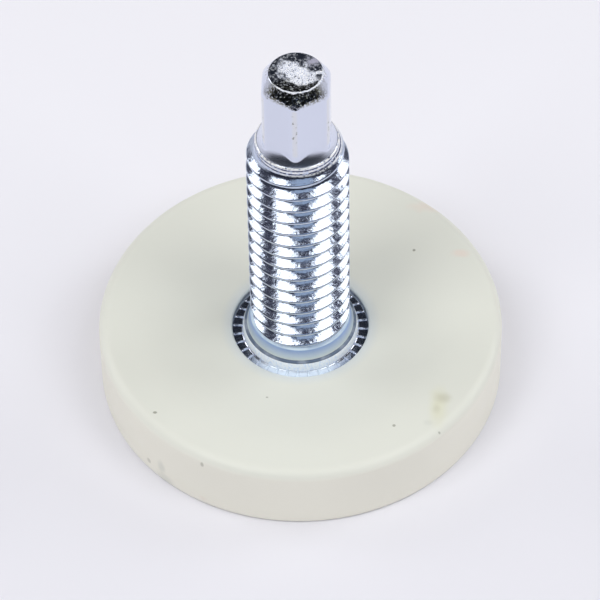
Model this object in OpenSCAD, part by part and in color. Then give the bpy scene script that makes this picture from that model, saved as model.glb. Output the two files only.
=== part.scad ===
// Refrigerator leveling leg: a cold-headed, plated steel stud with a hex drive end
// and a rolled thread, moulded by its serrated flange into a round plastic foot.
// The stud stands along +Z, and the origin is the centre of the foot's underside.

/* [Foot] */
// Outside diameter of the plastic foot
foot_d = 38.1; // [34:0.1:60]
// Height of the foot at its rim
foot_h = 7.1; // [6:0.1:12]
// Radius of the foot's upper edge
foot_edge_r = 1; // [0.3:0.1:1.6]
// Radius of the foot's lower edge
foot_base_r = 0.4; // [0.1:0.1:1]
// Width of the level land inside the upper edge
foot_land_w = 2; // [0.5:0.1:4]
// How far the top face sinks from its land to the seat
foot_dish = 1; // [0.2:0.1:1.4]
// Diameter of the seat, where the plastic leaves the flange bare
seat_d = 12.9; // [12:0.1:13.8]
// Radius of the seat's upper edge
seat_edge_r = 0.2; // [0.05:0.05:0.4]
// Thickness of the plastic that covers the flange's rim
flange_cover = 0.55; // [0.45:0.05:1.2]

/* [Flange] */
// Diameter of the flange over the tips of its serrations
flange_d = 14.6; // [14.2:0.1:20]
// Thickness of the flange
flange_t = 2; // [1.2:0.1:2.6]
// Number of serrations around the flange
tooth_count = 36; // [30:1:60]
// Depth of the serrations around the flange's rim
tooth_depth = 0.25; // [0.1:0.05:0.4]
// Height of the radial ribs on the flange's face
rib_h = 0.12; // [0.06:0.02:0.3]
// Share of each serration's angle that its rib takes up
rib_share = 0.25; // [0.15:0.05:0.6]
// Diameter of the raised lip where it meets the flange's face
lip_d = 10.9; // [10.8:0.1:11.6]
// Height of the raised lip above the flange's face
lip_h = 1.05; // [0.6:0.05:1.1]
// Lean of the lip's outer wall from upright
lip_angle = 14; // [0:1:16]
// Radius of the lip's top edge
lip_edge_r = 0.1; // [0.05:0.01:0.15]
// Gap that moulding shrinkage leaves between plastic and steel
mould_gap = 0.02; // [0.01:0.01:0.1]

/* [Boss] */
// Diameter of the boss at its foot, on the lip
boss_base_d = 10.1; // [9.6:0.05:10.15]
// Diameter of the boss where its side bends in to the thread
boss_top_d = 9.24; // [8.8:0.02:9.5]
// Height of that bend above the lip
boss_h = 1.45; // [1:0.05:4]
// Radius of the bend
boss_bend_r = 0.6; // [0.2:0.05:0.8]
// Slope of the boss's top, from level
boss_slope = 32; // [20:1:45]

/* [Thread] */
// Major diameter of the thread
thread_d = 9.4; // [9.1:0.1:10]
// Thread pitch
thread_pitch = 1.5875; // [1.2:0.0125:1.7]
// Depth of the thread
thread_depth = 0.9; // [0.6:0.05:1]
// Width of the crest, as a share of the pitch
crest_share = 0.125; // [0.08:0.005:0.2]
// Included angle of the thread
thread_angle = 60; // [50:1:62]
// Length of the thread from its start inside the boss to the hex end
thread_h = 25; // [12:0.5:60]
// Height above its start where the thread begins to rise
runout_z = 0.5; // [0.3:0.05:3]
// Height over which the thread rises to its full form
runout_h = 0.5; // [0.2:0.05:3]
// Slope of the thread's upper chamfer from the axis
chamfer_angle = 25; // [15:1:40]
// Place of the thread around the stud, in degrees
thread_turn = -52.5; // [-180:0.5:180]

/* [Hex end] */
// Width of the hex end across its flats
hex_af = 6.1; // [5:0.05:6.6]
// Height of the hex end above the thread
hex_h = 8.6; // [5:0.1:14]
// Radius of the hex end's upright corners
hex_corner_r = 1; // [0.2:0.05:1.2]
// Step from the hex's sharp corners out to the round shoulder
shoulder_step = 0.14; // [0.06:0.02:0.3]
// Height of the concave cove that the flats run out into
cove_h = 1.4; // [1:0.05:2]
// Slope of the end chamfer from the end face
tip_angle = 55; // [30:1:60]
// Diameter of the end face inside its chamfer
tip_d = 4.9; // [3.4:0.1:4.9]
// Radius of the edge round the end face
tip_edge_r = 0.15; // [0.05:0.05:0.3]
// Width of the flat rim round the hollow in the end face
tip_rim_w = 0.3; // [0.2:0.05:0.6]
// Depth of the hollow in the end face
tip_hollow = 0.3; // [0.1:0.05:0.5]

/* [Hidden] */

// How far below the boss's bend the thread starts, inside the boss
thread_sink = 0.85;

// Heights from the underside upwards
seat_z = foot_h - foot_dish;
face_z = seat_z - flange_cover;
flange_z = face_z - flange_t;
lip_z = face_z + lip_h;
bend_z = lip_z + boss_h;
thread_z = bend_z - thread_sink;
hex_z = thread_z + thread_h;

// Radii
foot_r = foot_d / 2;
seat_r = seat_d / 2;
flange_r = flange_d / 2;
lip_r = lip_d / 2;
boss_base_r = boss_base_d / 2;
boss_top_r = boss_top_d / 2;
crest_r = thread_d / 2;
root_r = crest_r - thread_depth;
corner_r = hex_af / 2 / cos(30);
shoulder_top_r = corner_r + shoulder_step;
tip_r = tip_d / 2;

// How far the thread's faceted top ring stays inside the round shoulder above it
ring_inset = 0.04;
// How far the ribs' ring reaches in under the lip
rib_overlap = 0.1;
// How far the boss's top runs in past the thread's root
boss_overlap = 0.1;
// The core that ties the hex end into the thread: its depth, and its room inside the hex
core_h = 0.6;
core_inset = 0.4;
// How far the cove's upright end lies inside the flats
cove_inset = 0.04;
// Points on a small arc, on the foot's long curve and on the cove
arc_steps = 6;
dish_steps = 12;
cove_steps = 10;
// Columns of facets around the thread, and key rows in each of its turns
thread_sides = 40;
turn_rows = 4;
// The thread's rows stay this share of a pitch clear of its two end rings
row_margin = 0.06;
// Height of the first root above the thread's start, in pitches
first_root = 0.28;
// Unused turns below that start, so that every row number stays positive
spare_turns = 2;

// Points on an arc about a centre, from one angle to another
function arc(centre, r, from, to, steps = arc_steps) =
    [for (k = [0 : steps])
        let (a = from + (to - from) * k / steps)
        centre + r * [cos(a), sin(a)]];

// ---- Plastic foot ----

// The top face: a level land that sinks in one smooth curve to the seat
dish_outer_r = foot_r - foot_edge_r - foot_land_w;
dish_inner_r = seat_r + seat_edge_r;
function dish_point(k) =
    let (t = k / dish_steps)
    [dish_outer_r + (dish_inner_r - dish_outer_r) * t,
     foot_h - foot_dish * (1 - cos(180 * t)) / 2];

foot_outline = concat(
    [[0, 0]],
    arc([foot_r - foot_base_r, foot_base_r], foot_base_r, -90, 0),
    arc([foot_r - foot_edge_r, foot_h - foot_edge_r], foot_edge_r, 0, 90),
    [for (k = [0 : dish_steps]) dish_point(k)],
    [for (k = [1 : arc_steps])
        let (a = 90 + 90 * k / arc_steps)
        [dish_inner_r, seat_z - seat_edge_r] + seat_edge_r * [cos(a), sin(a)]],
    [[seat_r, face_z - flange_t / 2], [0, face_z - flange_t / 2]]
);

module plastic_foot() {
    color([0.91, 0.91, 0.86])
    difference() {
        rotate_extrude($fn = 120)
            polygon(foot_outline);
        serrated_flange(mould_gap);
    }
}

// ---- Serrated flange, shared by the stud and the pocket moulded round it ----

tooth_angle = 360 / tooth_count;
rib_inner_r = lip_r - rib_overlap;

// Rim with a V-shaped notch between each pair of serrations
module toothed_disc(gap) {
    polygon([for (k = [0 : tooth_count - 1], half = [0, 1])
        let (r = flange_r + gap - (half == 0 ? 0 : tooth_depth))
        let (a = (k + half / 2) * tooth_angle)
        r * [cos(a), sin(a)]]);
}

// Radial ribs, joined at their inner ends by a ring under the lip
module radial_ribs(gap) {
    half = tooth_angle * rib_share / 2;
    gap_angle = atan(gap / flange_r);
    outer_r = flange_r - tooth_depth + gap;
    polygon([for (k = [0 : tooth_count - 1], corner = [0 : 3])
        let (r = corner == 0 || corner == 3 ? rib_inner_r : outer_r)
        let (side = corner < 2 ? -1 : 1)
        let (a = k * tooth_angle + side * (half + gap_angle))
        r * [cos(a), sin(a)]]);
}

module serrated_flange(gap) {
    translate([0, 0, flange_z - gap])
        linear_extrude(flange_t + 2 * gap)
            toothed_disc(gap);
    translate([0, 0, face_z])
        linear_extrude(rib_h + gap)
            radial_ribs(gap);
}

// ---- Stud ----

// Lip and boss in section: the lip's leaning wall, a narrow ledge, the boss's tapered
// side, its bend, and its top, which slopes in past the root of the thread
lip_top_r = lip_r - lip_h * tan(lip_angle);
lip_edge_in = lip_edge_r * tan(45 - lip_angle / 2);
boss_lean = atan((boss_base_r - boss_top_r) / boss_h);
boss_end_r = root_r - boss_overlap;
boss_end_z = bend_z + (boss_top_r - boss_end_r) * tan(boss_slope);
// The bend turns from the side's outward direction to the top's, and its centre lies
// on the line that halves the angle between them
bend_half = (90 - boss_slope - boss_lean) / 2;
bend_centre = [boss_top_r, bend_z]
    - boss_bend_r / cos(bend_half) * [cos(boss_lean + bend_half), sin(boss_lean + bend_half)];

boss_outline = concat(
    [[0, face_z - flange_t / 2], [lip_r, face_z - flange_t / 2], [lip_r, face_z]],
    arc([lip_top_r - lip_edge_in, lip_z - lip_edge_r], lip_edge_r, lip_angle, 90),
    [[boss_base_r, lip_z]],
    arc(bend_centre, boss_bend_r, boss_lean, 90 - boss_slope),
    [[boss_end_r, boss_end_z], [0, boss_end_z]]
);

module boss() {
    rotate_extrude($fn = 120)
        polygon(boss_outline);
}

// The thread is one closed skin on a helical grid. Each column of points stands at
// its own angle, and its rows sit at the corners of the thread form, so that a row
// climbs one pitch in a turn and joins the row above where the grid closes.

flank_share = thread_depth * tan(thread_angle / 2) / thread_pitch;
// Heights of a turn's rows, in pitches: root, crest start, crest end, next root
form_step = [0, flank_share, flank_share + crest_share, 2 * flank_share + crest_share];
form_r = [root_r, crest_r, crest_r, root_r];
grid_start = (first_root - spare_turns) * thread_pitch;
last_row = turn_rows * (spare_turns + 1 + ceil(thread_h / thread_pitch));
clear_z = row_margin * thread_pitch;

function row_z(column, row) =
    grid_start + thread_pitch * (floor(row / turn_rows) + form_step[row % turn_rows]
        + column / thread_sides);

// The rows of a column that lie between the two end rings
function rows_of(column) =
    [for (row = [0 : last_row])
        let (z = row_z(column, row))
        if (z > clear_z && z < thread_h - clear_z) row];

// Radius at a height: the thread form, faded out inside the boss and cut by the chamfer
chamfer_top_r = shoulder_top_r - ring_inset;
function runout(z) = min(1, max(0, (z - runout_z) / runout_h));
function chamfer_r(z) = chamfer_top_r + (thread_h - z) * tan(chamfer_angle);
function skin_r(z, row) =
    min(chamfer_r(z), root_r + runout(z) * (form_r[row % turn_rows] - root_r));

module thread() {
    rows = [for (column = [0 : thread_sides]) rows_of(column)];
    // Points in a column: the lower ring's, one for each row, and the upper ring's
    starts = [for (column = 0, sum = 0; column < thread_sides;
        sum = sum + len(rows[column]) + 2, column = column + 1) sum];
    function low(column) = starts[column % thread_sides];
    function high(column) =
        let (c = column % thread_sides)
        starts[c] + len(rows[c]) + 1;
    // A point's number: past the last column, rows continue one turn higher
    function id(column, row) =
        column < thread_sides
            ? starts[column] + 1 + row - rows[column][0]
            : id(column - thread_sides, row + turn_rows);
    points = [for (column = [0 : thread_sides - 1])
        let (a = 360 * column / thread_sides)
        let (bottom = [[root_r, 0]])
        let (top = [[chamfer_top_r, thread_h]])
        let (skin = [for (row = rows[column])
            let (z = row_z(column, row))
            [skin_r(z, row), z]])
        for (p = concat(bottom, skin, top)) [p[0] * cos(a), p[0] * sin(a), p[1]]];
    sides = [for (column = [0 : thread_sides - 1])
        let (here = rows[column])
        let (next = rows[column + 1])
        let (next_col = column + 1)
        let (from = here[0])
        let (to = next[len(next) - 1])
        for (face = concat(
            // Lower ring up to the first shared row
            [[low(column), id(column, from), low(next_col)],
             [low(next_col), id(column, from), id(next_col, next[0])]],
            [for (row = [next[0] : 1 : from - 1])
                [id(next_col, row), id(column, from), id(next_col, row + 1)]],
            // Shared rows
            [for (row = [from : to - 1], half = [0, 1])
                half == 0
                    ? [id(column, row), id(column, row + 1), id(next_col, row)]
                    : [id(next_col, row), id(column, row + 1), id(next_col, row + 1)]],
            // Last shared row up to the upper ring
            [for (row = [to : 1 : here[len(here) - 1] - 1])
                [id(next_col, to), id(column, row), id(column, row + 1)]],
            [[id(next_col, to), id(column, here[len(here) - 1]), high(column)],
             [id(next_col, to), high(column), high(next_col)]]
        )) face];
    lower_ring = [for (column = [0 : thread_sides - 1]) low(column)];
    upper_ring = [for (column = [thread_sides - 1 : -1 : 0]) high(column)];
    rotate(thread_turn)
        polyhedron(points, concat(sides, [lower_ring, upper_ring]), convexity = 10);
}

// Round cove below the hex, in section, on a core that reaches into the thread. It is
// an arc that stands upright just inside the flats and spreads out to the shoulder
core_r = corner_r - core_inset;
cove_top_r = hex_af / 2 - cove_inset;
cove_w = shoulder_top_r - cove_top_r;
cove_r = (cove_w * cove_w + cove_h * cove_h) / (2 * cove_w);
shoulder_outline = concat(
    [[0, -core_h], [core_r, -core_h], [core_r, 0]],
    arc([cove_top_r + cove_r, cove_h], cove_r, 180 + asin(cove_h / cove_r), 180, cove_steps),
    [[0, cove_h]]
);

// Round envelope that chamfers the corners at the tip
tip_outline = concat(
    [[0, -core_h], [crest_r, -core_h], [crest_r, hex_h - (crest_r - tip_r) * tan(tip_angle)]],
    arc([tip_r - tip_edge_r * tan(tip_angle / 2), hex_h - tip_edge_r], tip_edge_r,
        90 - tip_angle, 90),
    [[0, hex_h]]
);

// The hollow in the end face is a shallow piece of a sphere
hollow_rim_r = tip_r - tip_rim_w;
hollow_ball_r = (hollow_rim_r * hollow_rim_r + tip_hollow * tip_hollow) / (2 * tip_hollow);

// Hex in plan: flats joined by rounded corners
hex_points = [for (corner = [0 : 5])
    let (a = 30 + 60 * corner)
    let (centre = (hex_af / 2 - hex_corner_r) / cos(30) * [cos(a), sin(a)])
    for (p = arc(centre, hex_corner_r, a - 30, a + 30)) p];

module hex_end() {
    difference() {
        intersection() {
            union() {
                linear_extrude(hex_h)
                    polygon(hex_points);
                rotate_extrude($fn = 96)
                    polygon(shoulder_outline);
            }
            rotate_extrude($fn = 96)
                polygon(tip_outline);
        }
        translate([0, 0, hex_h + hollow_ball_r - tip_hollow])
            sphere(hollow_ball_r, $fn = 96);
    }
}

module threaded_stud() {
    color([0.78, 0.80, 0.85]) {
        serrated_flange(0);
        boss();
        translate([0, 0, thread_z])
            thread();
        translate([0, 0, hex_z])
            hex_end();
    }
}

plastic_foot();
threaded_stud();
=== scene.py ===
"""Refrigerator leveling leg: a plated steel stud moulded into a round plastic foot.

Every piece is made in metres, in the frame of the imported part. The stud stands along
+Z and the origin is the centre of the foot's underside.
"""

import math

import bpy
import numpy as np
from mathutils import Matrix, Vector


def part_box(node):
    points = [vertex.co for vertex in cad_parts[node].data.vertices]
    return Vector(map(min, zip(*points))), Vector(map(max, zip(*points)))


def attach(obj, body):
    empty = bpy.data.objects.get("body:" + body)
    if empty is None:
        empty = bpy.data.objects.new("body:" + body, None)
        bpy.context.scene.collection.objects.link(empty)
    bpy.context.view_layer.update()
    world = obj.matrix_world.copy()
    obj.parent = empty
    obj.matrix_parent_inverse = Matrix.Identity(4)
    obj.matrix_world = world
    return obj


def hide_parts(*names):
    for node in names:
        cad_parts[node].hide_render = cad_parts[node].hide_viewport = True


bl_info = {
    "name": "Leveling Leg",
    "version": (1, 0, 0),
    "blender": (4, 5, 0),
    "location": "3D View > Sidebar > Leg",
    "description": "Builds a refrigerator leveling leg and the stage it stands on",
    "category": "Add Mesh",
}

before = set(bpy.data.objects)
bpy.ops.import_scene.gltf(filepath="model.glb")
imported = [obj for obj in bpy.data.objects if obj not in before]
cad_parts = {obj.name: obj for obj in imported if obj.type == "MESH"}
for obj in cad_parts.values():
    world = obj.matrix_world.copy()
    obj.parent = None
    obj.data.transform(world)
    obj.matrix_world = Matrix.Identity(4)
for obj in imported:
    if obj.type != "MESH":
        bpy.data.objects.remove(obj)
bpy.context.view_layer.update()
FOOT_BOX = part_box("plastic_foot")
STUD_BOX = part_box("threaded_stud")

MM = 0.001
BODY = "root"
FOOT = "plastic_foot"
STUD = "threaded_stud"


# ---- Sizes and colours that a user would change ----


def length(label, text, millimetres):
    """A length property with its default in millimetres."""
    return bpy.props.FloatProperty(
        name=label, description=text, default=millimetres * MM, unit="LENGTH", precision=5
    )


def angle(label, text, degrees):
    """An angle property with its default in degrees."""
    return bpy.props.FloatProperty(
        name=label, description=text, default=math.radians(degrees), unit="ROTATION"
    )


def colour(label, text, value):
    """A colour property with its default in linear red, green and blue."""
    return bpy.props.FloatVectorProperty(
        name=label, description=text, default=value, subtype="COLOR", size=3, min=0, max=1
    )


class LegFootSettings(bpy.types.PropertyGroup):
    """Sizes and colour of the plastic foot"""

    radius: length("Radius", "Outside radius of the foot", FOOT_BOX[1].x / MM)
    height: length("Height", "Height of the foot at its rim", FOOT_BOX[1].z / MM)
    edge_radius: length("Upper edge", "Radius of the foot's upper edge", 1.0)
    base_radius: length("Lower edge", "Radius of the foot's lower edge", 0.4)
    land: length("Land", "Width of the level land inside the upper edge", 2.0)
    dish: length("Dish", "How far the top face sinks from its land to the seat", 1.0)
    seat_radius: length("Seat radius", "Where the plastic leaves the flange bare", 6.45)
    seat_edge: length("Seat edge", "Radius of the seat's upper edge", 0.2)
    cover: length("Cover", "Thickness of the plastic over the flange's rim", 0.55)
    color: colour("Plastic", "Colour of the off-white plastic", (0.77, 0.78, 0.70))


class LegFlangeSettings(bpy.types.PropertyGroup):
    """Sizes of the serrated flange and of the raised lip on it"""

    radius: length("Radius", "Radius of the flange inside the plastic", 7.05)
    thickness: length("Thickness", "Thickness of the flange", 2.0)
    rib_count: bpy.props.IntProperty(
        name="Ribs", description="Number of radial ribs around the flange", default=36
    )
    rib_height: length("Rib height", "Height of the ribs on the flange's face", 0.12)
    lip_radius: length("Lip radius", "Radius of the lip where it meets the face", 5.45)
    lip_height: length("Lip height", "Height of the lip above the flange's face", 1.05)
    lip_lean: angle("Lip lean", "Lean of the lip's outer wall from upright", 14)
    boss_base: length("Boss base", "Radius of the tapered boss at its foot", 5.05)
    boss_top: length("Boss top", "Radius of the tapered boss at its upper edge", 4.62)
    boss_height: length("Boss height", "Height of the boss above the lip", 1.45)
    boss_slope: angle("Boss slope", "Slope of the boss above its upper edge", 32)


class LegThreadSettings(bpy.types.PropertyGroup):
    """Sizes of the rolled thread"""

    radius: length("Crest radius", "Major radius of the thread", 4.7)
    pitch: length("Pitch", "Thread pitch", 1.5875)
    depth: length("Depth", "Depth of the thread", 0.9)
    crest_share: bpy.props.FloatProperty(
        name="Crest share", description="Width of the crest over the pitch", default=0.125
    )
    flank_angle: angle("Thread angle", "Included angle of the thread", 60)
    height: length("Length", "Length of the thread, with the part inside the boss", 25.0)
    first_root: bpy.props.FloatProperty(
        name="First root", description="Height of the first root, in pitches", default=0.28
    )
    core_radius: length("Core radius", "Radius of the core inside the boss", 3.8)
    runout_start: length("Run-out start", "Height where the thread starts to rise", 0.5)
    runout_height: length("Run-out height", "Height over which the thread rises", 0.5)
    chamfer: angle("Chamfer", "Slope of the upper chamfer from the axis", 25)
    edge: angle("Top edge", "Slope from the axis of the edge round the thread's top", 50)
    turn: angle("Turn", "Place of the thread around the stud", -52.5)


class LegHexSettings(bpy.types.PropertyGroup):
    """Sizes of the hex drive end, and colours of the plate"""

    across_flats: length("Across flats", "Width of the hex across its flats", 6.1)
    height: length("Height", "Height of the hex end above the thread", 8.6)
    corner_radius: length("Corner radius", "Radius of the hex corners", 1.0)
    shoulder_step: length("Shoulder step", "Step from the corners to the shoulder", 0.14)
    cove: length("Cove", "Height of the concave cove that the flats run out into", 1.8)
    tip_slope: angle("End chamfer", "Slope of the end chamfer from the end face", 55)
    tip_radius: length("End radius", "Radius of the end face inside its chamfer", 2.45)
    rim_width: length("Rim width", "Width of the rim round the hollow", 0.3)
    hollow: length("Hollow", "Depth of the hollow in the end face", 0.3)
    color: colour("Steel", "Colour of the bright zinc plate", (0.74, 0.78, 0.90))
    # The thread's plate is a darker copy of the steel's: painted shade that keeps its highlights from
    # clipping
    shaded_thread_color: colour("Thread", "Colour of the plate in the thread", (0.63, 0.71, 0.82))


class LegStageSettings(bpy.types.PropertyGroup):
    """The camera, the floor and the light"""

    elevation: angle("Elevation", "Camera above the horizon", 50.92)
    azimuth: angle("Azimuth", "Camera around the stud, from -Y towards +X", 3.3)
    roll: angle("Roll", "Turn of the camera about its view", -1.05)
    distance: length("Distance", "Camera to the centre of the underside", 402.3)
    aim_height: length("Aim", "Height of the point that the camera looks at", 9.5)
    lens: bpy.props.FloatProperty(
        name="Lens", description="Focal length in millimetres", default=252.0
    )
    floor_color: colour("Floor", "Colour of the floor", (0.86, 0.855, 0.90))
    world_strength: bpy.props.FloatProperty(
        name="World", description="Strength of the even light from all round", default=0.435
    )


SETTINGS = {
    "leg_foot": LegFootSettings,
    "leg_flange": LegFlangeSettings,
    "leg_thread": LegThreadSettings,
    "leg_hex": LegHexSettings,
    "leg_stage": LegStageSettings,
}


# ---- Meshes ----


def arc(centre, radius, start, end, steps):
    """Points on an arc in section, angles in degrees."""
    angles = np.radians(np.linspace(start, end, steps + 1))
    return [(centre[0] + radius * math.cos(a), centre[1] + radius * math.sin(a)) for a in angles]


def line(start, end, steps):
    """Points along a straight line in section, without its last one."""
    return [
        (start[0] + (end[0] - start[0]) * k / steps, start[1] + (end[1] - start[1]) * k / steps)
        for k in range(steps)
    ]


def skin(name, radii, heights):
    """A closed mesh from rings of points. The first and the last ring are points on the axis.

    radii and heights are arrays of one row per ring and one column per angle.
    """
    rings, columns = radii.shape
    angles = np.arange(columns) * 2 * math.pi / columns
    ring_points = np.stack(
        [radii * np.cos(angles), radii * np.sin(angles), np.broadcast_to(heights, radii.shape)],
        -1,
    )
    inner = ring_points[1:-1].reshape(-1, 3)
    poles = np.array([[0, 0, heights[0].mean()], [0, 0, heights[-1].mean()]])
    count = (rings - 2) * columns
    ids = np.arange(count).reshape(rings - 2, columns)
    after = np.roll(ids, -1, axis=1)
    quads = np.stack([ids[:-1], after[:-1], after[1:], ids[1:]], -1).reshape(-1, 4)
    bottom = np.stack([np.full(columns, count), after[0], ids[0]], -1)
    top = np.stack([np.full(columns, count + 1), ids[-1], after[-1]], -1)
    mesh = bpy.data.meshes.new(name)
    faces = [*quads.tolist(), *bottom.tolist(), *top.tolist()]
    mesh.from_pydata(np.vstack([inner, poles]).tolist(), [], faces)
    mesh.shade_smooth()
    mesh.update()
    obj = bpy.data.objects.new(name, mesh)
    bpy.context.scene.collection.objects.link(obj)
    return obj


def lathe(name, outline, columns):
    """A closed round mesh from an outline that starts and ends on the axis."""
    section = np.array(outline)
    radii = np.repeat(section[:, :1], columns, axis=1)
    heights = np.repeat(section[:, 1:], columns, axis=1)
    return skin(name, radii, heights)


def soft_min(a, b, width):
    """The smaller of two arrays, rounded where they cross."""
    share = np.clip(0.5 + 0.5 * (b - a) / width, 0, 1)
    return b + (a - b) * share - width * share * (1 - share)


def soft_max(a, b, width):
    """The larger of two arrays, rounded where they cross."""
    return -soft_min(-a, -b, width)


def finish_piece(obj, material, node):
    """Gives a piece its material, attaches it to the body, and hides the node it stands for."""
    obj.data.materials.clear()
    obj.data.materials.append(material)
    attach(obj, BODY)
    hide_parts(node)


# ---- Geometry node trees ----


class Tree:
    """A node tree under construction, for geometry or for a shader."""

    def __init__(self, tree):
        self.nodes = tree.nodes
        self.links = tree.links

    def node(self, kind, **values):
        """A node, with its own values set by name."""
        made = self.nodes.new(kind)
        for key, value in values.items():
            setattr(made, key, value)
        return made

    def put(self, socket, value):
        """Links an output to a socket, or sets the socket's value."""
        if isinstance(value, bpy.types.NodeSocket):
            self.links.new(value, socket)
        else:
            socket.default_value = value

    def fill(self, node, inputs):
        """Links or sets a node's inputs by name."""
        for name, value in inputs.items():
            self.put(node.inputs[name], value)

    def make(self, kind, inputs, **values):
        """A node, with its inputs linked or set by name, and its own values."""
        made = self.node(kind, **values)
        self.fill(made, inputs)
        return made

    def math(self, operation, *values):
        """A Math node's result."""
        made = self.node("ShaderNodeMath", operation=operation)
        for socket, value in zip(made.inputs, values):
            self.put(socket, value)
        return made.outputs[0]

    def plus(self, a, b):
        """The sum of two numbers."""
        return self.math("ADD", a, b)

    def minus(self, a, b):
        """The first number less the second."""
        return self.math("SUBTRACT", a, b)

    def times(self, a, b):
        """The product of two numbers."""
        return self.math("MULTIPLY", a, b)

    def larger(self, a, b):
        """The larger of two numbers."""
        return self.math("MAXIMUM", a, b)

    def ramp(self, value, low, high, start=0.0, end=1.0, smooth=True):
        """A value mapped from one range to another, and held at the ends."""
        inputs = {"Value": value, "From Min": low, "From Max": high, "To Min": start, "To Max": end}
        kind = "SMOOTHSTEP" if smooth else "LINEAR"
        made = self.make("ShaderNodeMapRange", inputs, interpolation_type=kind, clamp=True)
        return made.outputs["Result"]

    def combine(self, x=0.0, y=0.0, z=0.0):
        """A vector from three numbers."""
        return self.make("ShaderNodeCombineXYZ", {"X": x, "Y": y, "Z": z}).outputs[0]

    def split(self, vector):
        """The three numbers of a vector."""
        return self.make("ShaderNodeSeparateXYZ", {"Vector": vector}).outputs


class Shading(Tree):
    """A shader node tree under construction."""

    def vector(self, operation, a, b=None):
        """A Vector Math node's result, as a vector or as a number."""
        made = self.node("ShaderNodeVectorMath", operation=operation)
        self.put(made.inputs[0], a)
        if operation == "SCALE":
            self.put(made.inputs["Scale"], b)
        elif b is not None:
            self.put(made.inputs[1], b)
        return made.outputs["Value" if operation == "LENGTH" else "Vector"]

    def noise(self, place, scale, detail=2.0):
        """Smooth noise about one half, with its scale in cycles per unit."""
        inputs = {"Vector": place, "Scale": scale, "Detail": detail}
        return self.make("ShaderNodeTexNoise", inputs).outputs["Fac"]

    def mix(self, share, first, second):
        """The first colour turned into the second by a share."""
        made = self.node("ShaderNodeMix", data_type="RGBA")
        self.put(made.inputs["Factor"], share)
        for name, value in (("A", first), ("B", second)):
            socket = next(i for i in made.inputs if i.name == name and i.type == "RGBA")
            self.put(socket, value if isinstance(value, bpy.types.NodeSocket) else (*value, 1.0))
        return next(o for o in made.outputs if o.type == "RGBA")

    def bump(self, height, distance):
        """The normal of a surface raised by a height that runs from 0 to 1."""
        inputs = {"Strength": 1.0, "Distance": distance, "Height": height}
        return self.make("ShaderNodeBump", inputs).outputs[0]

    def use(self, group, **values):
        """A node group's outputs, with its inputs set by name."""
        return self.make("ShaderNodeGroup", values, node_tree=group).outputs

    def band(self, value, low, high, soft):
        """1 where a value lies between two others, with soft ends."""
        return self.use(band_mask(), Value=value, Low=low, High=high, Soft=soft)["Mask"]

    def patch(self, place, centre, size, scale, ragged, soft):
        """1 inside an oval patch with a ragged edge."""
        values = {"Centre": centre, "Size": size, "Scale": scale, "Ragged": ragged, "Soft": soft}
        return self.use(patch_mask(), Vector=place, **values)["Mask"]


def new_geometry_tree(name, sockets):
    """A geometry node group with named inputs, and the tree to build it with."""
    group = bpy.data.node_groups.new(name, "GeometryNodeTree")
    for kind, labels in sockets.items():
        for label in labels:
            group.interface.new_socket(label, in_out="INPUT", socket_type="NodeSocket" + kind)
    group.interface.new_socket("Geometry", in_out="OUTPUT", socket_type="NodeSocketGeometry")
    tree = Tree(group)
    inputs = tree.node("NodeGroupInput")
    outputs = tree.node("NodeGroupOutput")
    return group, tree, inputs.outputs, outputs.inputs["Geometry"]


def grow(name, group, values):
    """Runs a geometry node group on an empty object, and keeps the result as a plain mesh."""
    seed = bpy.data.objects.new(name + "_seed", bpy.data.meshes.new(name + "_seed"))
    bpy.context.scene.collection.objects.link(seed)
    modifier = seed.modifiers.new("Shape", "NODES")
    modifier.node_group = group
    for item in group.interface.items_tree:
        if item.in_out == "INPUT" and item.name in values:
            modifier[item.identifier] = values[item.name]
    bpy.context.view_layer.update()
    evaluated = seed.evaluated_get(bpy.context.evaluated_depsgraph_get())
    mesh = bpy.data.meshes.new_from_object(evaluated)
    mesh.name = name
    seed.modifiers.remove(modifier)
    bpy.data.objects.remove(seed)
    obj = bpy.data.objects.new(name, mesh)
    bpy.context.scene.collection.objects.link(obj)
    return obj


# How far the thread's rows are drawn together at the crest, as a share of a turn
CROWDING = 0.6
# Faint rings round the thread's upper edge: their spacing and depth, and where they fade
RING_STEP = 0.42 * MM
RING_DEPTH = 0.02 * MM
RING_FADE = (0.5 * MM, 0.9 * MM)
# How close two points of the thread's skin are before they are merged
MERGE_DISTANCE = 1e-6


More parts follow.
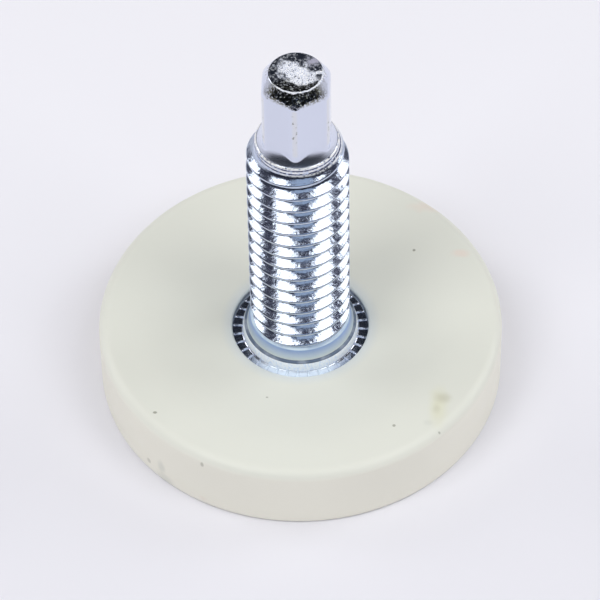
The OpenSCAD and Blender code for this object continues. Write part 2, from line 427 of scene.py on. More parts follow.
def thread_tree():
    """The thread's skin: a grid wound up the stud, whose rows follow the thread form."""
    group, tree, given, result = new_geometry_tree(
        "Leg thread",
        {
            "Int": ("Columns", "Rows per turn", "Turns"),
            "Float": (
                "Pitch", "Crest radius", "Depth", "Crest share", "Flank share", "Crest rounding",
                "Root rounding", "Core radius", "Top radius", "Length", "Base height", "First root",
                "Run-out start", "Run-out height", "Taper slope", "Chamfer slope", "Turn",
                "Edge rounding",
            ),
            "Material": ("Material",),
        },
    )
    plus, minus, times = tree.plus, tree.minus, tree.times
    row_count = times(given["Rows per turn"], given["Turns"])
    vertices = {"Vertices X": plus(given["Columns"], 1), "Vertices Y": plus(row_count, 1)}
    grid = tree.make("GeometryNodeMeshGrid", {"Size X": 1.0, "Size Y": 1.0, **vertices})
    place = tree.split(tree.node("GeometryNodeInputPosition").outputs[0])
    around = plus(place["X"], 0.5)
    along = plus(place["Y"], 0.5)

    # Rows are drawn together at the crest, where the form turns fastest
    row_turns = times(along, given["Turns"])
    crowd = tree.math("SINE", times(row_turns, 2 * math.pi))
    turns = plus(row_turns, times(crowd, CROWDING / (2 * math.pi)))
    start = minus(given["First root"], 2.0)
    raw = times(plus(plus(turns, around), start), given["Pitch"])
    height = tree.math("MINIMUM", tree.larger(raw, 0.0), given["Length"])

    # The form is 0 in the root and 1 on the crest
    phase = tree.math("FRACT", turns)
    from_crest = tree.math("ABSOLUTE", minus(phase, 0.5))
    half_root = plus(given["Flank share"], times(given["Crest share"], 0.5))
    flank = tree.math("DIVIDE", minus(half_root, from_crest), given["Flank share"])
    form = tree.math("SMOOTH_MIN", flank, 1.0, given["Crest rounding"])
    form = tree.math("SMOOTH_MAX", form, 0.0, given["Root rounding"])

    # Near the top each crest is as low as the taper makes it
    root = minus(given["Crest radius"], given["Depth"])
    below_top = minus(given["Length"], height)
    below_crest = plus(below_top, times(minus(phase, 0.5), given["Pitch"]))
    tapered = plus(given["Top radius"], times(below_crest, given["Taper slope"]))
    tallest = tree.math("MINIMUM", given["Depth"], minus(tapered, root))
    full = plus(root, times(form, tree.larger(tallest, 0.0)))

    # The thread rises out of its core, and ends under a chamfer with faint rings
    runout_end = plus(given["Run-out start"], given["Run-out height"])
    risen = tree.ramp(height, given["Run-out start"], runout_end)
    radius = plus(given["Core radius"], times(minus(full, given["Core radius"]), risen))
    chamfer = plus(given["Top radius"], times(below_top, given["Chamfer slope"]))
    wave = tree.math("SINE", times(below_top, 2 * math.pi / RING_STEP))
    chamfer = plus(chamfer, times(wave, tree.ramp(below_top, *RING_FADE, RING_DEPTH, 0.0)))
    radius = tree.math("SMOOTH_MIN", radius, chamfer, given["Edge rounding"])

    # The outermost rows close the two ends on the axis
    margin = tree.math("DIVIDE", 0.5, row_count)
    open_low = tree.math("GREATER_THAN", along, margin)
    open_high = tree.math("LESS_THAN", along, minus(1.0, margin))
    radius = times(radius, times(open_low, open_high))
    turned = plus(times(around, 2 * math.pi), given["Turn"])
    x = times(radius, tree.math("COSINE", turned))
    y = times(radius, tree.math("SINE", turned))
    point = tree.combine(x, y, plus(height, given["Base height"]))
    wound = {"Geometry": grid.outputs["Mesh"], "Position": point}
    placed = tree.make("GeometryNodeSetPosition", wound).outputs[0]
    merging = {"Geometry": placed, "Distance": MERGE_DISTANCE}
    merged = tree.make("GeometryNodeMergeByDistance", merging).outputs[0]
    finish_tree(tree, merged, given["Material"], result)
    return group


def finish_tree(tree, geometry, material, result):
    """Ends a tree with smooth shading, realised instances and a material."""
    smooth = tree.make("GeometryNodeSetShadeSmooth", {"Geometry": geometry}).outputs[0]
    real = tree.make("GeometryNodeRealizeInstances", {"Geometry": smooth}).outputs[0]
    painting = {"Geometry": real, "Material": material}
    tree.put(result, tree.make("GeometryNodeSetMaterial", painting).outputs[0])


def rib_tree():
    """Radial ribs: one round-backed wedge, repeated around the flange."""
    lengths = ("Inner radius", "Outer radius", "Width share", "Rib height", "Face height")
    group, tree, given, result = new_geometry_tree(
        "Leg ribs", {"Int": ("Count",), "Float": lengths, "Material": ("Material",)}
    )
    inner = given["Inner radius"]
    outer = given["Outer radius"]
    half_step = tree.math("DIVIDE", math.pi, given["Count"])
    half_angle = tree.times(half_step, given["Width share"])
    wedge = tree.make(
        "GeometryNodeMeshCone",
        {
            "Vertices": 16,
            "Radius Bottom": tree.times(inner, half_angle),
            "Radius Top": tree.times(outer, half_angle),
            "Depth": tree.minus(outer, inner),
        },
    ).outputs["Mesh"]
    flatten = tree.math("DIVIDE", given["Rib height"], tree.times(outer, half_angle))
    squash = {"Geometry": wedge, "Scale": tree.combine(flatten, 1.0, 1.0)}
    laid = tree.make("GeometryNodeTransform", squash).outputs[0]
    tip = {
        "Geometry": laid,
        "Rotation": (0.0, math.pi / 2, 0.0),
        "Translation": tree.combine(x=inner, z=given["Face height"]),
    }
    rib = tree.make("GeometryNodeTransform", tip).outputs[0]

    # One point per rib, all on the axis: only their turns differ
    ring = tree.make("GeometryNodeMeshCircle", {"Vertices": given["Count"], "Radius": 1e-5})
    points = tree.make("GeometryNodeMeshToPoints", {"Mesh": ring.outputs[0]}).outputs[0]
    centring = {"Geometry": points, "Position": (0.0, 0.0, 0.0)}
    centred = tree.make("GeometryNodeSetPosition", centring).outputs[0]
    index = tree.node("GeometryNodeInputIndex").outputs[0]
    spin = tree.combine(z=tree.times(index, tree.times(half_step, 2.0)))
    placing = {"Points": centred, "Instance": rib, "Rotation": spin}
    placed = tree.make("GeometryNodeInstanceOnPoints", placing).outputs[0]
    finish_tree(tree, placed, given["Material"], result)
    return group


# ---- Shader node groups that several materials share ----


def shader_group(name, given, made, build):
    """A shared shader node group, built when it is first asked for."""
    group = bpy.data.node_groups.get(name)
    if group:
        return group
    group = bpy.data.node_groups.new(name, "ShaderNodeTree")
    for in_out, sockets in (("INPUT", given), ("OUTPUT", made)):
        for label, kind in sockets.items():
            group.interface.new_socket(label, in_out=in_out, socket_type="NodeSocket" + kind)
    tree = Shading(group)
    results = build(tree, tree.node("NodeGroupInput").outputs)
    output = tree.node("NodeGroupOutput")
    for label, value in results.items():
        tree.put(output.inputs[label], value)
    return group


def round_place():
    """Place about the stud's axis: a direction, a radius and a height."""

    def build(tree, given):
        parts = tree.split(given["Vector"])
        flat = tree.combine(parts["X"], parts["Y"])
        return {
            "Direction": tree.vector("NORMALIZE", flat),
            "Radius": tree.vector("LENGTH", flat),
            "Height": parts["Z"],
        }

    made = {"Direction": "Vector", "Radius": "Float", "Height": "Float"}
    return shader_group("Leg round place", {"Vector": "Vector"}, made, build)


def band_mask():
    """1 where a value lies between two others, with soft ends."""

    def build(tree, given):
        value, soft = given["Value"], given["Soft"]
        low = tree.ramp(value, tree.minus(given["Low"], soft), given["Low"])
        high = tree.ramp(value, given["High"], tree.plus(given["High"], soft), 1.0, 0.0)
        return {"Mask": tree.times(low, high)}

    given = {"Value": "Float", "Low": "Float", "High": "Float", "Soft": "Float"}
    return shader_group("Leg band", given, {"Mask": "Float"}, build)


def patch_mask():
    """1 inside an oval patch with a ragged edge."""

    def build(tree, given):
        offset = tree.vector("SUBTRACT", given["Vector"], given["Centre"])
        away = tree.vector("LENGTH", tree.vector("DIVIDE", offset, given["Size"]))
        noise = tree.noise(given["Vector"], given["Scale"], 3.0)
        edge = tree.plus(away, tree.times(tree.minus(noise, 0.5), given["Ragged"]))
        inner = tree.minus(1.0, given["Soft"])
        outer = tree.plus(1.0, given["Soft"])
        return {"Mask": tree.ramp(edge, inner, outer, 1.0, 0.0)}

    places = {"Vector": "Vector", "Centre": "Vector", "Size": "Vector"}
    given = {**places, "Scale": "Float", "Ragged": "Float", "Soft": "Float"}
    return shader_group("Leg patch", given, {"Mask": "Float"}, build)


def front_mask():
    """1 on the side of the stud that faces -Y."""

    def build(tree, given):
        return {"Mask": tree.ramp(tree.split(given["Direction"])["Y"], -0.66, -0.92)}

    return shader_group("Leg front", {"Direction": "Vector"}, {"Mask": "Float"}, build)


def plate_relief():
    """Crystals and faint lumps of the zinc plate: a height for bumps, and the crystals."""

    def build(tree, given):
        crystals = tree.noise(given["Vector"], 4200.0, 3.0)
        lumps = tree.noise(given["Vector"], 1100.0, 2.0)
        return {"Height": tree.plus(crystals, tree.times(lumps, 2.2)), "Crystals": crystals}

    made = {"Height": "Float", "Crystals": "Float"}
    return shader_group("Leg plate relief", {"Vector": "Vector"}, made, build)


def round_streaks():
    """Fine marks that run around the stud, as rolling leaves them."""

    def build(tree, given):
        across = tree.times(given["Radius"], given["Across"])
        turn = tree.vector("SCALE", given["Direction"], given["Along"])
        spread = tree.combine(0.0, tree.times(given["Height"], 420.0), across)
        return {"Value": tree.noise(tree.vector("ADD", turn, spread), 1.0, 2.0)}

    floats = {name: "Float" for name in ("Radius", "Height", "Across", "Along")}
    given = {"Direction": "Vector", **floats}
    return shader_group("Leg round streaks", given, {"Value": "Float"}, build)


# ---- Materials ----


# Heights of the bumps
PLATE_RELIEF = 0.01 * MM
RIB_RELIEF = 0.004 * MM
THREAD_RELIEF = 0.014 * MM

# Colours of the plate
# Painted pale reflection for the front of the flange
PAINTED_PALE_REFLECTION = (0.80, 0.90, 1.0)
WORN_RING = (0.95, 0.95, 0.94)
# Painted shade in the thread's ring grooves
PAINTED_RING_SHADE = (0.02, 0.02, 0.03)
HAZE = (0.48, 0.50, 0.86)
# How far below the thread's top its worn rings and painted shade rings end, and down to where they
# are full
RINGS_END = 1.2 * MM
RINGS_FULL = 0.8 * MM

# Heights on the collar, from the flange's face up to the bend at the top of the boss
FACE_HEIGHTS = (5.52 * MM, 5.62 * MM)
WALL_HEIGHTS = (5.65 * MM, 6.46 * MM)
LEDGE_HEIGHTS = (6.50 * MM, 6.64 * MM)
BOSS_HEIGHTS = (6.56 * MM, 6.64 * MM)
SIDE_HEIGHTS = (6.7 * MM, 7.7 * MM)
BEND_HEIGHTS = (7.8 * MM, 8.1 * MM)

# Places on the hex end: heights, radii, and depths below its end face
FLATS_START = 33.5 * MM
COVE_END = 34.5 * MM
CORNER_RADII = (3.33 * MM, 3.37 * MM)
RIM_RADII = (2.36 * MM, 2.45 * MM)
CUT_DEPTHS = (0.9 * MM, 1.4 * MM)
# How far the frosted patch moves back for each unit to the left
FROST_SLANT = 0.35

# Patches in the hex end's face: centre from the axis, size, noise scale, raggedness, softness
LILAC_PATCH = ((0.0015, 0.00145), (0.0006, 0.0004, 0.001), 3600.0, 3.0, 0.8)
FROST_PATCH = ((0.0001, 0.0001), (0.0017, 0.0012, 0.002), 1500.0, 1.7, 0.25)
SPIKE_PATCH = ((0.0021, 0.0001), (0.0006, 0.00018, 0.002), 2400.0, 0.8, 0.25)

# Places on the foot: where its outer wall's warmer tint starts, and the painted bluish shade round
# the seat
WALL_RADII = (18.6 * MM, 18.95 * MM)
WALL_TOP = (6.0 * MM, 6.8 * MM)
SEAT_SHADE_RADII = (6.4 * MM, 7.8 * MM)

# Colours of the marks on the foot
SPECK = (0.20, 0.20, 0.14)
OLIVE = (0.45, 0.43, 0.30)
YELLOW = (0.74, 0.73, 0.52)
GREY = (0.58, 0.59, 0.53)
WARM = (0.80, 0.72, 0.62)
PINK = (0.86, 0.62, 0.52)
# The marks: centre and size in millimetres, raggedness, softness, colour and strength
MARKS = (
    ((-12.97, -12.04, 7.1), (0.19, 0.14, 0.4), 0.3, 0.3, SPECK, 0.7),
    ((10.52, 8.72, 6.9), (0.14, 0.14, 0.4), 0.3, 0.3, SPECK, 0.7),
    ((10.2, -0.65, 6.9), (0.14, 0.12, 0.4), 0.3, 0.3, SPECK, 0.6),
    ((13.5, -13.26, 7.0), (0.19, 0.15, 0.4), 0.3, 0.3, SPECK, 0.7),
    ((12.37, -12.36, 7.0), (0.4, 0.3, 0.4), 0.6, 0.6, GREY, 0.25),
    ((9.23, -12.82, 7.1), (0.15, 0.15, 0.4), 0.3, 0.3, SPECK, 0.6),
    ((-2.71, -9.27, 6.6), (0.14, 0.12, 0.4), 0.3, 0.3, SPECK, 0.6),
    ((-8.33, -17.13, 6.0), (0.18, 0.14, 0.3), 0.3, 0.4, SPECK, 0.45),
    ((-8.4, -17.1, 0.8), (0.4, 0.3, 0.3), 0.6, 0.7, WARM, 0.4),
    ((-13.67, -13.27, 1.4), (0.25, 0.25, 0.3), 0.5, 0.5, SPECK, 0.35),
    ((-12.4, -14.45, 2.0), (0.4, 0.4, 0.7), 0.9, 0.7, GREY, 0.5),
    ((-12.0, -14.8, 0.6), (1.0, 0.8, 0.5), 0.9, 0.8, GREY, 0.5),
    ((13.3, -10.4, 7.1), (0.7, 1.7, 0.5), 0.8, 0.9, YELLOW, 0.55),
    ((13.65, -9.4, 7.1), (0.6, 0.5, 0.5), 0.9, 0.9, OLIVE, 0.4),
    ((13.1, -10.7, 7.1), (0.3, 0.4, 0.5), 0.9, 0.9, OLIVE, 0.25),
    ((15.0, 8.3, 7.0), (0.8, 0.5, 0.5), 1.4, 0.6, PINK, 0.3),
    ((11.4, 14.2, 7.0), (1.4, 0.6, 0.6), 1.6, 0.7, PINK, 0.25),
)


def new_material(name):
    """An empty material with a Principled shader, and the tree to build it with."""
    material = bpy.data.materials.new(name)
    material.use_nodes = True
    material.node_tree.nodes.clear()
    tree = Shading(material.node_tree)
    shader = tree.node("ShaderNodeBsdfPrincipled")
    tree.make("ShaderNodeOutputMaterial", {"Surface": shader.outputs[0]})
    return material, tree, shader


def object_place(tree):
    """The Object coordinates of the piece."""
    return tree.node("ShaderNodeTexCoord").outputs["Object"]


def bright_plate(name, color):
    """Bright zinc plate: its material, tree, shader, place, round place and relief."""
    material, tree, shader = new_material(name)
    place = object_place(tree)
    around = tree.use(round_place(), Vector=place)
    relief = tree.use(plate_relief(), Vector=place)
    tree.fill(shader, {"Base Color": (*color, 1.0), "Metallic": 1.0})
    return material, tree, shader, place, around, relief


def rib_material(color):
    """Smooth bright plate, with a painted pale reflection towards the front."""
    material, tree, shader, _, around, relief = bright_plate("Rib plate", color)
    front = tree.use(front_mask(), Direction=around["Direction"])["Mask"]
    # The front gets a painted pale reflection, and less metal
    plate = {
        "Base Color": tree.mix(front, color, PAINTED_PALE_REFLECTION),
        "Metallic": tree.ramp(front, 0.0, 1.0, 1.0, 0.2),
        "Roughness": 0.18,
        "Normal": tree.bump(relief["Height"], RIB_RELIEF),
    }
    tree.fill(shader, plate)
    return material


def thread_material(color):
    """Rolled thread: mottled bright plate, with worn rings and painted dark shade in the grooves
    between them round its top edge.
    """
    material, tree, shader, _, around, relief = bright_plate("Thread plate", color)
    streaks = tree.use(
        round_streaks(),
        Direction=around["Direction"],
        Radius=around["Radius"],
        Height=around["Height"],
        Across=7000.0,
        Along=5.0,
    )["Value"]
    top = STUD_BOX[1].z - bpy.context.scene.leg_hex.height
    wave = tree.math("SINE", tree.times(tree.minus(top, around["Height"]), 2 * math.pi / RING_STEP))
    near = tree.ramp(around["Height"], top - RINGS_END, top - RINGS_FULL)
    flecked = tree.ramp(relief["Crystals"], 0.35, 0.5)
    wear_and_ledge_shade = tree.times(tree.times(near, tree.ramp(wave, 0.0, 0.5)), flecked)
    # Painted shade: near-black in the sunk half of each ring
    sunk = tree.times(tree.times(near, tree.ramp(wave, 0.0, -0.4)), flecked)
    normal = tree.bump(tree.plus(relief["Height"], tree.times(streaks, 0.6)), THREAD_RELIEF)
    plate = {
        "Base Color": tree.mix(sunk, tree.mix(wear_and_ledge_shade, color, WORN_RING), PAINTED_RING_SHADE),
        "Metallic": tree.ramp(wear_and_ledge_shade, 0.0, 1.0, 1.0, 0.3),
        "Normal": normal,
        "Roughness": tree.ramp(relief["Crystals"], 0.3, 0.7, 0.10, 0.20),
    }
    tree.fill(shader, plate)

    # A hazy layer under the mirror gives the highlights soft lavender edges
    layer = {"Color": (*HAZE, 1.0), "Roughness": 0.32, "Normal": normal}
    haze = tree.make("ShaderNodeBsdfAnisotropic", layer)
    layers = tree.make("ShaderNodeMixShader", {"Fac": tree.ramp(wear_and_ledge_shade, 0.0, 1.0, 0.12, 0.0)})
    tree.put(layers.inputs[1], shader.outputs[0])
    tree.put(layers.inputs[2], haze.outputs[0])
    output = next(n for n in tree.nodes if n.type == "OUTPUT_MATERIAL")
    tree.put(output.inputs["Surface"], layers.outputs[0])
    return material


def collar_material(color):
    """Satin plate on the boss and on the coined wall of the lip, with painted reflections on the boss
    and the face, a painted glint on the bend and painted shade on the ledge.
    """
    material, tree, shader, place, around, relief = bright_plate("Collar plate", color)
    height = around["Height"]
    face = tree.ramp(height, *FACE_HEIGHTS, 1.0, 0.0)
    wall = tree.band(height, *WALL_HEIGHTS, 0.06 * MM)
    ledge = tree.band(height, *LEDGE_HEIGHTS, 0.04 * MM)
    boss = tree.ramp(height, *BOSS_HEIGHTS)
    rise = tree.ramp(height, *SIDE_HEIGHTS, smooth=False)
    bend = tree.band(height, *BEND_HEIGHTS, 0.12 * MM)
    patches = tree.noise(place, 600.0, 2.0)
    flecks = tree.noise(tree.vector("MULTIPLY", place, (1.0, 1.0, 0.6)), 5200.0, 3.0)
    front = tree.use(front_mask(), Direction=around["Direction"])["Mask"]

    # Each part of the collar in turn, from the boss down to the flange's face
    # Painted reflection: the boss turns from pale at its foot to blue at its top
    tint = tree.mix(boss, color, tree.mix(rise, (0.92, 1.0, 1.0), (0.46, 0.62, 0.98)))
    # Painted glint: a pale blue matte band along the bend
    painted_glint = tree.times(bend, tree.ramp(patches, 0.35, 0.6, 0.65, 1.0))
    tint = tree.mix(painted_glint, tint, (0.74, 0.88, 1.0))
    pale = tree.mix(tree.ramp(flecks, 0.3, 0.55), (0.74, 0.85, 1.0), (0.93, 0.98, 1.0))
    tint = tree.mix(wall, tint, pale)
    # Painted pale reflection on the front of the flange's face
    painted_face_reflection = tree.times(front, face)
    tint = tree.mix(painted_face_reflection, tint, PAINTED_PALE_REFLECTION)
    # Painted shade: a dark, patchy line along the ledge at the foot of the boss
    wear_and_ledge_shade = tree.times(ledge, tree.ramp(patches, 0.36, 0.56, 0.6, 1.0))
    tint = tree.mix(wear_and_ledge_shade, tint, (0.22, 0.28, 0.38))
    rough = tree.larger(tree.larger(wall, ledge), tree.times(boss, 0.72))
    matte = tree.larger(wall, tree.times(painted_glint, 0.9))
    matte = tree.larger(matte, tree.times(tree.minus(boss, rise), 0.3))
    matte = tree.larger(matte, tree.times(painted_face_reflection, 0.8))
    raised = tree.plus(relief["Height"], tree.times(wall, flecks))
    plate = {
        "Base Color": tint,
        "Roughness": tree.ramp(rough, 0.0, 1.0, 0.2, 0.6, smooth=False),
        "Metallic": tree.minus(1.0, matte),
        "Normal": tree.bump(raised, PLATE_RELIEF),
    }
    tree.fill(shader, plate)
    return material


def end_patch(tree, place, centre, *form):
    """A ragged patch in the hex end's face."""
    return tree.patch(place, (*centre, STUD_BOX[1].z), *form)


def hex_material(color):
    """Drive end: smooth flats, a cut chamfer and a frosted patch in the end face, with painted
    highlights on the corners and the rim, and a painted dark reflection on the chamfer's front side.
    """
    material, tree, shader, place, around, relief = bright_plate("Hex plate", color)
    top = STUD_BOX[1].z
    height = around["Height"]
    radius = around["Radius"]
    direction = tree.split(around["Direction"])
    flecks = tree.noise(place, 4600.0, 4.0)

    # The corners of the hex: a painted faint warm highlight line, with a few dark specks
    flats = tree.band(height, FLATS_START, top - 1.5 * MM, 0.3 * MM)
    corner = tree.times(tree.ramp(radius, *CORNER_RADII), flats)
    dots = tree.ramp(tree.noise(place, 2600.0, 2.0), 0.62, 0.68)
    tint = tree.mix(tree.times(corner, 0.4), color, (0.80, 0.78, 0.70))
    tint = tree.mix(tree.times(dots, corner), tint, (0.25, 0.25, 0.22))

    # The cut chamfer: a painted brown-black dark reflection with pale flecks on its front side,
    # ragged where it meets the flats
    wander = tree.times(tree.minus(flecks, 0.5), 0.7 * MM)
    depth = tree.plus(tree.minus(top, height), wander)
    cut = tree.ramp(depth, *CUT_DEPTHS, 1.0, 0.0)
    dark_reflection_side = tree.times(cut, tree.ramp(direction["Y"], -0.35, -0.7))
    painted_dark_reflection = tree.times(dark_reflection_side, tree.ramp(flecks, 0.68, 0.45))
    tint = tree.mix(painted_dark_reflection, tint, (0.17, 0.165, 0.13))
    painted_reflection_flecks = tree.times(dark_reflection_side, tree.ramp(tree.noise(place, 4200.0, 3.0), 0.6, 0.7))
    tint = tree.mix(painted_reflection_flecks, tint, (0.34, 0.37, 0.34))

    # The end face: olive spots and a lilac one, frost in the middle with a spike to the rim
    on_face = tree.ramp(height, top - 0.4 * MM, top - 0.3 * MM)
    spots = tree.times(on_face, tree.ramp(flecks, 0.5, 0.7, 0.0, 0.6))
    tint = tree.mix(spots, tint, (0.15, 0.14, 0.09))
    lilac = tree.times(end_patch(tree, place, *LILAC_PATCH), 0.7)
    tint = tree.mix(lilac, tint, (0.46, 0.43, 0.56))
    slant = tree.combine(y=tree.times(tree.split(place)["X"], FROST_SLANT))
    slanted = tree.vector("ADD", place, slant)
    middle = end_patch(tree, slanted, *FROST_PATCH)
    spike = end_patch(tree, place, *SPIKE_PATCH)
    grain = tree.noise(place, 9000.0, 3.0)
    frost = tree.times(tree.larger(middle, spike), tree.ramp(grain, 0.34, 0.42))

    # A painted highlight on the rim, towards the front and the right
    uneven = tree.times(tree.minus(tree.noise(place, 2200.0, 3.0), 0.5), 0.22 * MM)
    rim = tree.band(tree.plus(radius, uneven), *RIM_RADII, 0.06 * MM)
    level = tree.ramp(height, top - 0.25 * MM, top - 0.15 * MM)
    toward_front = tree.minus(tree.times(direction["X"], 0.45), tree.times(direction["Y"], 0.9))
    rim = tree.times(tree.times(rim, level), tree.ramp(toward_front, 0.0, 0.5))
    bright = tree.larger(frost, rim)
    white = tree.mix(tree.ramp(grain, 0.45, 0.62), (0.66, 0.70, 0.82), (1.0, 1.0, 1.0))
    dull = tree.larger(spots, tree.larger(painted_reflection_flecks, lilac))

    plain = tree.ramp(relief["Crystals"], 0.3, 0.7, 0.08, 0.18)
    plain = tree.larger(plain, tree.ramp(height, FLATS_START, COVE_END, 0.26, 0.0))
    coarse = tree.larger(bright, tree.times(dark_reflection_side, 0.7))
    raised = tree.plus(flecks, relief["Height"])
    raised = tree.times(raised, tree.ramp(coarse, 0.0, 1.0, 0.12, 2.5))
    plate = {
        "Base Color": tree.mix(bright, tint, white),
        "Metallic": tree.minus(1.0, tree.larger(bright, dull)),
        "Roughness": tree.larger(tree.times(bright, 0.5), plain),
        "Normal": tree.bump(raised, PLATE_RELIEF),
    }
    tree.fill(shader, plate)
    return material


def plastic_material(name, color):
    """Off-white moulded plastic with a low sheen, clouds, stains, specks and a painted bluish shade
    round the seat.
    """
    material, tree, shader = new_material(name)
    place = object_place(tree)
    around = tree.use(round_place(), Vector=place)
    radius = around["Radius"]
    cloud = tree.noise(place, 90.0, 3.0)
    tint = tree.mix(tree.ramp(cloud, 0.3, 0.7, 0.0, 0.12), color, (0.70, 0.70, 0.62))
    outside = tree.ramp(radius, *WALL_RADII)
    wall = tree.times(outside, tree.ramp(around["Height"], *WALL_TOP, 1.0, 0.0))
    tint = tree.mix(wall, tint, (0.83, 0.81, 0.71))
    # Painted shade: bluish, fading out from the seat
    painted_seat_shade = tree.ramp(radius, *SEAT_SHADE_RADII, 0.5, 0.0)
    tint = tree.mix(painted_seat_shade, tint, (0.60, 0.67, 0.72))
    for centre, size, ragged, soft, mark, share in MARKS:
        centre = [c * MM for c in centre]
        size = [c * MM for c in size]
        mask = tree.patch(place, centre, size, 900.0, ragged, soft)
        tint = tree.mix(tree.times(mask, share), tint, mark)
    grain = tree.noise(place, 700.0, 4.0)
    rough = tree.ramp(grain, 0.3, 0.7, 0.36, 0.46)
    normal = tree.bump(grain, PLATE_RELIEF)
    tree.fill(shader, {"Base Color": tint, "Roughness": rough, "Normal": normal})
    return material


# ---- Operators: the pieces ----


# Room between the plastic and the flange inside it
POCKET_GAP = 0.02 * MM
# Radius of the underside's innermost ring
UNDERSIDE_START = 3.0 * MM
# How far the boss goes on inside the thread
BOSS_TAIL = 0.5 * MM
# How far the ribs reach into the lip, and stop short of the flange's rim
RIB_END = 0.1 * MM
# Widths of the rounded joins between two surfaces
BOSS_ROUNDING = 0.35 * MM
THREAD_ROUNDING = 0.15 * MM
COVE_ROUNDING = 0.06 * MM
CHAMFER_ROUNDING = 0.25 * MM
HOLLOW_ROUNDING = 0.04 * MM
# The hex end's rows are close below the first of these heights and above the second
CLOSE_ROWS = (1.9 * MM, 6.6 * MM)


class LEG_OT_plastic_foot(bpy.types.Operator):
    """Makes the round plastic foot, with its dished top and the pocket round the flange"""

    bl_idname = "leg.plastic_foot"
    bl_label = "Plastic foot"

    def execute(self, context):
        foot = context.scene.leg_foot
        flange = context.scene.leg_flange
        seat = foot.height - foot.dish
        face = seat - foot.cover
        pocket_radius = flange.radius + POCKET_GAP
        pocket_top = face + flange.rib_height + POCKET_GAP
        pocket_floor = face - flange.thickness - POCKET_GAP
        outer = foot.radius - foot.edge_radius - foot.land
        inner = foot.seat_radius + foot.seat_edge
        steps = 48
        dish = []
        for k in range(steps + 1):
            share = k / steps
            drop = foot.dish * (1 - math.cos(math.pi * share)) / 2
            dish.append((outer + (inner - outer) * share, foot.height - drop))
        base_centre = (foot.radius - foot.base_radius, foot.base_radius)
        edge_centre = (foot.radius - foot.edge_radius, foot.height - foot.edge_radius)
        outline = [
            (0.0, 0.0),
            *line((UNDERSIDE_START, 0.0), (base_centre[0], 0.0), 6),
            *arc(base_centre, foot.base_radius, -90, 0, 8),
            *line((foot.radius, foot.base_radius), (foot.radius, edge_centre[1]), 16)[1:],
            *arc(edge_centre, foot.edge_radius, 0, 90, 14),
            *line((edge_centre[0], foot.height), (outer, foot.height), 8)[1:],
            *dish,
            *arc((inner, seat - foot.seat_edge), foot.seat_edge, 90, 180, 8)[1:],
            (foot.seat_radius, pocket_top),
            (pocket_radius, pocket_top),
            (pocket_radius, pocket_floor),
            (0.0, pocket_floor),
        ]
        obj = lathe("foot_body", outline, columns=256)
        finish_piece(obj, plastic_material("Foot plastic", foot.color), FOOT)
        return {"FINISHED"}


class LEG_OT_collar(bpy.types.Operator):
    """Makes the flange, the raised lip on it and the tapered boss"""

    bl_idname = "leg.collar"
    bl_label = "Collar"

    def execute(self, context):
        foot = context.scene.leg_foot
        flange = context.scene.leg_flange
        color = context.scene.leg_hex.color
        face = foot.height - foot.dish - foot.cover
        lip_top = flange.lip_radius - flange.lip_height * math.tan(flange.lip_lean)
        ledge = face + flange.lip_height
        boss_edge = ledge + flange.boss_height
        heights = np.linspace(ledge, boss_edge + BOSS_TAIL, 40)
        taper = (flange.boss_base - flange.boss_top) / flange.boss_height
        side = flange.boss_top + (boss_edge - heights) * taper
        top = flange.boss_top + (boss_edge - heights) / math.tan(flange.boss_slope)
        boss = soft_min(side, top, BOSS_ROUNDING)
        lip_turns = np.radians(np.linspace(0, 80, 14))
        lip_radii = lip_top + (flange.lip_radius - lip_top) * np.cos(lip_turns)
        lip_heights = face + (ledge - face) * np.sin(lip_turns)
        outline = [
            (0.0, face - flange.thickness),
            (flange.radius, face - flange.thickness),
            (flange.radius, face),
            *line((flange.radius, face), (flange.lip_radius, face), 6)[1:],
            *zip(lip_radii.tolist(), lip_heights.tolist()),
            *zip(boss.tolist(), heights.tolist()),
            (0.0, heights[-1]),
        ]
        obj = lathe("stud_collar", outline, columns=192)
        finish_piece(obj, collar_material(color), STUD)
        return {"FINISHED"}


class LEG_OT_ribs(bpy.types.Operator):
    """Makes the radial ribs on the flange's face"""

    bl_idname = "leg.ribs"
    bl_label = "Flange ribs"

    def execute(self, context):
        foot = context.scene.leg_foot
        flange = context.scene.leg_flange
        material = rib_material(context.scene.leg_hex.color)
        values = {
            "Count": flange.rib_count,
            "Inner radius": flange.lip_radius - RIB_END,
            "Outer radius": flange.radius - RIB_END,
            "Width share": 0.25,
            "Rib height": flange.rib_height,
            "Face height": foot.height - foot.dish - foot.cover,
            "Material": material,
        }
        obj = grow("stud_ribs", rib_tree(), values)
        finish_piece(obj, material, STUD)
        return {"FINISHED"}


class LEG_OT_thread(bpy.types.Operator):
    """Makes the right-hand thread, from inside the boss to the chamfer below the hex end"""

    bl_idname = "leg.thread"
    bl_label = "Thread"

    def execute(self, context):
        foot = context.scene.leg_foot
        flange = context.scene.leg_flange
        thread = context.scene.leg_thread
        hexagon = context.scene.leg_hex
        corner = hexagon.across_flats / 2 / math.cos(math.pi / 6)
        flank = thread.depth * math.tan(thread.flank_angle / 2) / thread.pitch
        # The thread takes the darker, painted-shade copy of the plate colour
        material = thread_material(hexagon.shaded_thread_color)
        values = {
            "Columns": 128,
            "Rows per turn": 30,
            "Turns": math.ceil(thread.height / thread.pitch) + 3,
            "Pitch": thread.pitch,
            "Crest radius": thread.radius,
            "Depth": thread.depth,
            "Crest share": thread.crest_share,
            "Flank share": flank,
            "Crest rounding": 0.14,
            "Root rounding": 0.9,
            "Core radius": thread.core_radius,
            "Top radius": corner + hexagon.shoulder_step,
            "Length": thread.height,
            "Base height": STUD_BOX[1].z - hexagon.height - thread.height,
            "First root": thread.first_root,
            "Run-out start": thread.runout_start,
            "Run-out height": thread.runout_height,
            "Taper slope": math.tan(thread.chamfer),
            "Chamfer slope": math.tan(thread.edge),
            "Turn": thread.turn,
            "Edge rounding": THREAD_ROUNDING,
            "Material": material,
        }
        obj = grow("stud_thread", thread_tree(), values)
        finish_piece(obj, material, STUD)
        return {"FINISHED"}


